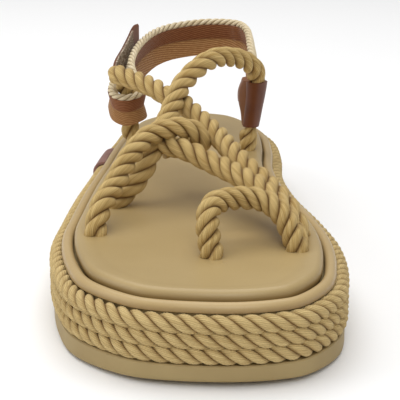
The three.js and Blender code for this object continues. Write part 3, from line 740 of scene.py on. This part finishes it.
# Heel band: brown webbing inside, with a lengthwise crease, and rows of cream twisted cord
# sewn side by side outside. Its lateral end turns round the side rope.
BAND_LENGTH = 0.064
BAND_WIDTH = 0.054
BAND_STAND = 0.0328
BAND_RISE = 0.015
BAND_HEIGHT = 0.017
WEBBING_THICKNESS = 0.0014
WEBBING_TOP = 0.84
WEBBING_CREASE = 0.0021
WEBBING_PITCH = 0.0009
WEBBING_SLANT = 0.16
WEBBING_STEPS = 11
CREASE_UP = 0.42
CORD_DIAMETER = 0.0024
CORD_FULLNESS = 1.08
CORD_STEP = 0.0006
CORD_ROWS = 6
CORD_LAY = 0.0066
EDGE_CORD = 0.0034
EDGE_CORD_LAY = 0.0100
CORD_SHARE = 0.7
TURN_CREASE_LOSS = 0.55
TURN_CREASE_EASE = 0.01
CORNER_ACROSS = 0.326
CORNER_FOLD = 0.0008
CORNER_REACH = 0.0022
BAND_STEPS = 10
BAND = [
    {"across": 0.428, "back": 0.156, "rise": 0.25, "tall": 0.92},
    {"across": 0.428, "back": 0.297, "rise": 0.43, "tall": 0.95},
    {"across": 0.421, "back": 0.453, "rise": 0.62, "tall": 1.00},
    {"across": 0.418, "back": 0.610, "rise": 0.79, "tall": 1.00},
    {"across": 0.400, "back": 0.750, "rise": 0.92, "tall": 1.00},
    {"across": 0.336, "back": 0.895, "rise": 1.00, "tall": 1.00},
    {"across": 0.190, "back": 0.973, "rise": 1.01, "tall": 1.00},
    {"across": 0.000, "back": 1.000, "rise": 0.98, "tall": 1.00},
    {"across": -0.148, "back": 0.980, "rise": 0.93, "tall": 1.00},
    {"across": -0.287, "back": 0.919, "rise": 0.87, "tall": 1.00},
    {"across": -0.398, "back": 0.816, "rise": 0.78, "tall": 1.00},
    {"across": -0.474, "back": 0.680, "rise": 0.66, "tall": 1.00},
    {"across": -0.526, "back": 0.530, "rise": 0.53, "tall": 1.00},
    {"across": -0.557, "back": 0.375, "rise": 0.38, "tall": 0.98},
    {"across": -0.563, "back": 0.234, "rise": 0.21, "tall": 0.94},
    {"across": -0.530, "back": 0.117, "rise": 0.00, "tall": 0.88},
]
BAND_TURN = [
    {"turn": 0, "rise": -0.28, "tall": 0.80},
    {"turn": 45, "rise": -0.43, "tall": 0.74},
    {"turn": 90, "rise": -0.50, "tall": 0.76},
    {"turn": 135, "rise": -0.48, "tall": 0.68},
    {"turn": 180, "rise": -0.42, "tall": 0.48},
]
BAND_TAIL = {"across": -0.700, "back": 0.090, "rise": -0.30, "tall": 0.50}
BAND_BASE = FOOTBED_TOP + BAND_STAND
BAND_THICKNESS = WEBBING_THICKNESS + CORD_DIAMETER


def rope_centre(path, above):
    """The centre of a side rope, from its foot up, at one height above the footbed."""
    return path[np.argmax(path[:, 2] >= FOOTBED_TOP + above)]


wrap_centre = rope_centre(rope_route(LATERAL_ROPE), BAND_STAND - BAND_HEIGHT)
wrap_radius = STRAP_CORE_RADIUS + 2 * PIECE_GAP + BAND_THICKNESS / 2


def band_row(row):
    return (row["across"] * BAND_WIDTH, wrap_centre[1] + row["back"] * BAND_LENGTH,
            row["rise"], row["tall"])


def band_turn_row(row):
    angle = math.radians(row["turn"])
    return (wrap_centre[0] + wrap_radius * math.cos(angle),
            wrap_centre[1] - wrap_radius * math.sin(angle), row["rise"], row["tall"])


def upright_strip(rows, height, steps):
    """The top and low edges of a strip that stands upright, and the level direction out
    from it, for each step along its rows."""
    top = np.array([(x, y, BAND_BASE + rise * BAND_RISE) for x, y, rise, tall in rows])
    low = top - np.array([(0, 0, tall * height) for x, y, rise, tall in rows])
    top, low = smooth_path(top, steps=steps), smooth_path(low, steps=steps)
    along = directions(top * (1, 1, 0))
    return top, low, np.stack([along[:, 1], -along[:, 0], 0 * along[:, 0]], axis=1)


def strip_rows(strip, out, up):
    """Rows of points across a strip. up is a share of its height, and out, the distance
    that a point stands out from it, may differ from step to step."""
    top, low, outward = strip
    up = np.asarray(up, float)[None, :, None]
    out = np.atleast_2d(out)[:, :, None]
    return low[:, None] * (1 - up) + top[:, None] * up + outward[:, None] * out


def webbing_finish():
    """Brown webbing: yarn lines run along it, slanted one way above the crease and the other
    way below, with pale flecks; painted shade darkens it above the crease, painted light lightens it
    below."""
    finish, tree, shader = new_finish("band_webbing", 0.8, Specular_IOR_Level=0.25,
                                      Sheen_Weight=0.2, Sheen_Roughness=0.4)
    place = add_node(tree, "UVMap", {"uv_map": "lay"}).outputs["UV"]
    parts = add_node(tree, "SeparateXYZ", Vector=place)
    side = add_node(tree, "Attribute", {"attribute_name": "hollow"}).outputs["Fac"]
    lean = add_node(tree, "Math", {"operation": "MULTIPLY"})
    tree.links.new(parts.outputs["X"], lean.inputs[0])
    tree.links.new(side, lean.inputs[1])
    slant = add_node(tree, "Math", {"operation": "MULTIPLY_ADD"})
    tree.links.new(lean.outputs[0], slant.inputs[0])
    slant.inputs[1].default_value = WEBBING_SLANT
    tree.links.new(parts.outputs["Y"], slant.inputs[2])
    twill = add_node(tree, "CombineXYZ", X=parts.outputs["X"], Y=slant.outputs[0])
    ribs = add_node(tree, "TexWave", {"bands_direction": "Y"}, Vector=twill.outputs["Vector"],
                    Scale=BANDS_PER_LENGTH / WEBBING_PITCH, Distortion=2.2, Detail=2.0,
                    Detail_Scale=150.0)
    flecks_place = add_node(tree, "Mapping", Vector=place, Scale=(500.0, 1800.0, 1.0))
    flecks = add_node(tree, "TexNoise", Vector=flecks_place.outputs["Vector"], Scale=1.0, Detail=3.0)
    mixed = add_node(tree, "Math", {"operation": "MULTIPLY"})
    tree.links.new(ribs.outputs["Fac"], mixed.inputs[0])
    tree.links.new(flecks.outputs["Fac"], mixed.inputs[1])
    weave = mixed.outputs[0]
    # Painted light and shade: the same weave in two tones, darker above the crease as in shade and
    # lighter below it as in light.
    tone = two_tones(tree, weave, paint(113, 63, 36), 0.05, paint(160, 109, 69), 0.65)
    paler = two_tones(tree, weave, paint(135, 91, 51), 0.05, paint(188, 144, 94), 0.65)
    below = add_node(tree, "MapRange", Value=side)
    below.inputs["From Min"].default_value = 1.0
    below.inputs["From Max"].default_value = -1.0
    shown = add_node(tree, "MixRGB", Fac=below.outputs["Result"], Color1=tone, Color2=paler)
    tree.links.new(shown.outputs["Color"], shader.inputs["Base Color"])
    bump = add_node(tree, "Bump", Strength=0.7, Distance=0.0002, Height=weave)
    tree.links.new(bump.outputs["Normal"], shader.inputs["Normal"])
    return finish


band_strip = upright_strip(
    [*map(band_row, BAND), *map(band_turn_row, BAND_TURN), band_row(BAND_TAIL)],
    BAND_HEIGHT, BAND_STEPS)
inner = -BAND_THICKNESS / 2


def crease_depth(up):
    span = CREASE_UP if up < CREASE_UP else WEBBING_TOP - CREASE_UP
    return WEBBING_CREASE * max(0.0, 1 - abs(up - CREASE_UP) / span) ** 1.25


band_places = np.linspace(0, 1, len(band_strip[0]))
turn_starts = len(BAND) / (len(BAND) + len(BAND_TURN))
creased = 1 - TURN_CREASE_LOSS / (1 + np.exp(-(band_places - turn_starts) / TURN_CREASE_EASE))
corner_at = np.argmin(np.abs(band_strip[0][:, 0] - CORNER_ACROSS * BAND_WIDTH)
                      + np.where(band_places > 0.5, 1, 0) - np.clip(band_strip[0][:, 1], 0, 1))
corner_lengths = np.linalg.norm(band_strip[0] - band_strip[0][corner_at], axis=1)
corner_fold = CORNER_FOLD * np.exp(-(corner_lengths / CORNER_REACH) ** 2)
webbing_up = np.concatenate([np.linspace(0.0, CREASE_UP, WEBBING_STEPS),
                             np.linspace(CREASE_UP, WEBBING_TOP, WEBBING_STEPS)[1:]])
webbing_both = np.concatenate([webbing_up, webbing_up[::-1]])
webbing_bend = np.array([crease_depth(up) for up in webbing_up])
webbing_face = inner + creased[:, None] * webbing_bend - corner_fold[:, None]
webbing_back = inner + WEBBING_THICKNESS + CORD_SHARE * creased[:, None] * webbing_bend
webbing_out = np.concatenate([webbing_face, webbing_back[:, ::-1]], axis=1)
webbing_rows = strip_rows(band_strip, webbing_out, webbing_both)
lean_side = np.where(webbing_both > CREASE_UP, 1.0, -1.0)
webbing_cloth = webbing_finish()
make_piece("heel_webbing", [skin(webbing_rows, capped=True, shade=lean_side[None, :])],
           webbing_cloth, ["heel_band"], sharp=60)

# The third colour is the painted shade in the valleys between strands.
cord_finish = rope_finish("cream_cord", paint(236, 222, 192), paint(216, 198, 160),
                          paint(150, 125, 85), yarns=16, roughness=0.75, relief=0.00012)
cord_skins = []
for row in range(CORD_ROWS):
    cord_up = (row + 0.5) / CORD_ROWS * WEBBING_TOP
    cord_out = BAND_THICKNESS / 2 - CORD_DIAMETER / 2 + CORD_SHARE * creased * crease_depth(cord_up)
    cord_line = strip_rows(band_strip, cord_out[:, None], [cord_up])[:, 0]
    cord_skins.append(laid_rope(evenly(cord_line, CORD_STEP), CORD_DIAMETER * CORD_FULLNESS,
                                CORD_LAY, hand=-1, upright=True, facets=5, start=0.9 * row))
edge_up = 1 - EDGE_CORD / 2 / BAND_HEIGHT
edge_line = strip_rows(band_strip, [inner + EDGE_CORD / 2], [edge_up])[:, 0]
cord_skins.append(laid_rope(evenly(edge_line, CORD_STEP), EDGE_CORD, EDGE_CORD_LAY, hand=-1,
                            upright=True, facets=7))
make_piece("heel_cords", cord_skins, cord_finish, ["heel_band"])


# Closure tab: the free end of the band beyond its turn round the rope. It stands open
# outside the band, brown, with a patch of hook tape on its inner face.
TAB_THICKNESS = 0.0018
TAB_HEIGHT = 0.0155
TAB_EDGE = 0.06
TAB = [
    {"across": -0.702, "back": 0.106, "rise": -0.24, "tall": 0.66},
    {"across": -0.700, "back": 0.170, "rise": 0.02, "tall": 0.90},
    {"across": -0.688, "back": 0.245, "rise": 0.26, "tall": 1.00},
    {"across": -0.639, "back": 0.385, "rise": 0.53, "tall": 1.00},
    {"across": -0.598, "back": 0.575, "rise": 0.77, "tall": 1.00},
    {"across": -0.568, "back": 0.710, "rise": 0.95, "tall": 0.95},
    {"across": -0.535, "back": 0.810, "rise": 0.95, "tall": 0.80},
]


def brown_finish(name, light, dark, roughness, pale=None):
    """Smooth brown leather; pale is its tone where the mesh marks it: a cut edge's own paler colour,
    and painted light on a part that faces the light.
    """
    finish, tree, shader = new_finish(name, roughness, Specular_IOR_Level=0.45)
    place = add_node(tree, "TexCoord").outputs["Object"]
    cloud = add_node(tree, "TexNoise", Vector=place, Scale=140.0, Detail=4.0).outputs["Fac"]
    tone = two_tones(tree, cloud, dark, 0.3, light, 0.7)
    # Paler where the mesh marks it: the cut edge's own colour, and painted light on a part facing the
    # light.
    paler = add_node(tree, "Attribute", {"attribute_name": "hollow"}).outputs["Fac"]
    shown = add_node(tree, "MixRGB", Fac=paler, Color1=tone, Color2=pale or light)
    tree.links.new(shown.outputs["Color"], shader.inputs["Base Color"])
    grain = add_node(tree, "TexVoronoi", Vector=place, Scale=2200.0).outputs["Distance"]
    bump = add_node(tree, "Bump", Strength=0.3, Distance=0.0001, Height=grain)
    tree.links.new(bump.outputs["Normal"], shader.inputs["Normal"])
    return finish


tab_strip = upright_strip([*map(band_row, TAB)], TAB_HEIGHT, BAND_STEPS)
tab_face = TAB_THICKNESS / 3
tab_up = np.linspace(TAB_EDGE, 1 - TAB_EDGE, 9)
tab_section_up = [*tab_up, 1.0, *tab_up[::-1], 0.0]
tab_section_out = [-tab_face] * len(tab_up) + [0.0] + [tab_face] * len(tab_up) + [0.0]
tab_brown = brown_finish("tab_brown", paint(128, 78, 52), paint(104, 58, 36), roughness=0.55)
tab_rows = strip_rows(tab_strip, tab_section_out, tab_section_up)
make_piece("tab_leather", [skin(tab_rows, capped=True)], tab_brown,
           ["closure_tab"], sharp=60)


def hook_finish():
    """Hook tape: rows of stiff grey-brown hooks over a woven ground."""
    finish, tree, shader = new_finish("hook_tape", 0.85, Specular_IOR_Level=0.3)
    place = add_node(tree, "TexCoord").outputs["Object"]
    hooks = add_node(tree, "TexVoronoi", Vector=place, Scale=1100.0).outputs["Distance"]
    tone = two_tones(tree, hooks, paint(205, 192, 172), 0.15, paint(128, 108, 90), 0.6)
    tree.links.new(tone, shader.inputs["Base Color"])
    bump = add_node(tree, "Bump", {"invert": True}, Strength=0.8, Distance=0.0004, Height=hooks)
    tree.links.new(bump.outputs["Normal"], shader.inputs["Normal"])
    return finish


HOOK_START = 0.24
HOOK_END = 0.76
HOOK_LOW = 0.12
HOOK_HIGH = 0.97
HOOK_THICKNESS = 0.0005
hook_face = tab_face + HOOK_THICKNESS
hook_rows = strip_rows(tab_strip, [hook_face, hook_face, 0, 0],
                       [HOOK_LOW, HOOK_HIGH, HOOK_HIGH, HOOK_LOW])
hook_rows = hook_rows[round(HOOK_START * len(hook_rows)):round(HOOK_END * len(hook_rows))]
make_piece("tab_hook_tape", [skin(hook_rows, capped=True)], hook_finish(),
           ["closure_tab"], sharp=40)


# Rope sleeve: a strip of smooth brown leather wrapped round the medial rope and sewn to
# the end of the heel band. Its inner layer stands off the rope in a soft bulge.
SLEEVE_LEATHER = 0.0009
SLEEVE_WRAP_START = -168
SLEEVE_WRAP_END = 30
SLEEVE_WRAP_STEPS = 24
SLEEVE_FLAP_STEPS = 6
band_end = band_row(BAND[0])
sleeve_table = smooth_path([[row["up"], row["squeeze"], row["bulge"]] for row in SLEEVE], steps=6)
sleeve_rows, sleeve_tones = [], []
for up, squeeze, bulge in sleeve_table:
    x, y, z = rope_centre(medial_path, SLEEVE_LOW + (SLEEVE_HIGH - SLEEVE_LOW) * up)
    outer = STRAP_CORE_RADIUS - squeeze + PIECE_GAP + SLEEVE_LEATHER
    turns = np.radians(np.linspace(SLEEVE_WRAP_START, SLEEVE_WRAP_END, SLEEVE_WRAP_STEPS + 1))
    tube = [(x + outer * math.cos(turn), y + outer * math.sin(turn)) for turn in turns]
    cut_x = x + (outer - SLEEVE_LEATHER) * math.cos(turns[0])
    cut_y = y + (outer - SLEEVE_LEATHER) * math.sin(turns[0])
    side = x - outer - bulge
    tail_y = band_end[1] - PIECE_GAP
    flap = smooth_path([(band_end[0] - BAND_THICKNESS / 2, tail_y), (side + bulge / 4, y + 2 * outer),
                        (side, y + outer), (side + bulge / 4, y + outer / 3), (cut_x, cut_y)],
                       steps=SLEEVE_FLAP_STEPS)
    around = [*tube, (band_end[0] + BAND_THICKNESS / 2, tail_y), *flap]
    sleeve_rows.append([(px, py, z) for px, py in around])
    # Pale marks: the tube's first point, on the cut edge, takes the full pale tone of cut leather;
    # the flap takes part of it as painted light, for the side that faces the light.
    sleeve_tones.append([1.0] + [0.0] * len(tube) + [0.6] * (len(flap) - 1) + [0.0])
sleeve_leather = brown_finish("sleeve_leather", paint(105, 56, 27), paint(88, 44, 19),
                              roughness=0.42, pale=paint(140, 94, 60))
make_piece("sleeve_wrap", [skin(sleeve_rows, capped=True, shade=np.array(sleeve_tones))],
           sleeve_leather, ["rope_sleeve"], sharp=50)


# Joint patch: a piece of brown leather glued over the rope courses where their ends meet,
# on the lateral side of the heel. It folds over the top course to the rim.
PATCH_LEATHER = 0.001
PATCH_BENDS = 8
PATCH_START = 0.664
PATCH_END = 0.76
PATCH_STATIONS = 18


def lateral_share(along):
    """Where a row lies on the outline, counted from the toe tip down the lateral side."""
    places = [row["along"] for row in OUTLINE]
    row = int(np.argmax(np.array(places) > along))
    part = (along - places[row - 1]) / (places[row] - places[row - 1])
    return (row + part) / (2 * (len(OUTLINE) + 1))


patch_low = SLAB_HEIGHT + PIECE_GAP
top_course = SLAB_HEIGHT + COURSE_LIFT + 2 * COURSE_STACK
patch_inner = COURSE_ROPE / 2 + PIECE_GAP / 2
patch_outer = patch_inner + PATCH_LEATHER


def patch_bend(reach):
    return [(COURSE_ROPE / 2 - reach * math.cos(a), top_course + reach * math.sin(a))
            for a in np.linspace(0, math.pi / 2, PATCH_BENDS)]


patch_profile = [
    (COURSE_ROPE / 2 - patch_inner, patch_low),
    *patch_bend(patch_inner),
    (RIM_INSET - PIECE_GAP, top_course + patch_inner),
    (RIM_INSET - PIECE_GAP, top_course + patch_outer),
    *patch_bend(patch_outer)[::-1],
    (COURSE_ROPE / 2 - patch_outer, patch_low),
]
patch_lines = np.array([sole_line(inset, height) for inset, height in patch_profile])
patch_stations = [round((1 - lateral_share(along)) * len(outline))
                  for along in np.linspace(PATCH_END, PATCH_START, PATCH_STATIONS)]
patch_rows = patch_lines[:, patch_stations].transpose(1, 0, 2)
patch_leather = brown_finish("patch_leather", paint(146, 106, 95), paint(122, 84, 73),
                             roughness=0.5)
make_piece("patch_wrap", [skin(patch_rows, capped=True)], patch_leather,
           ["joint_patch"], sharp=40, weld=0.00001)
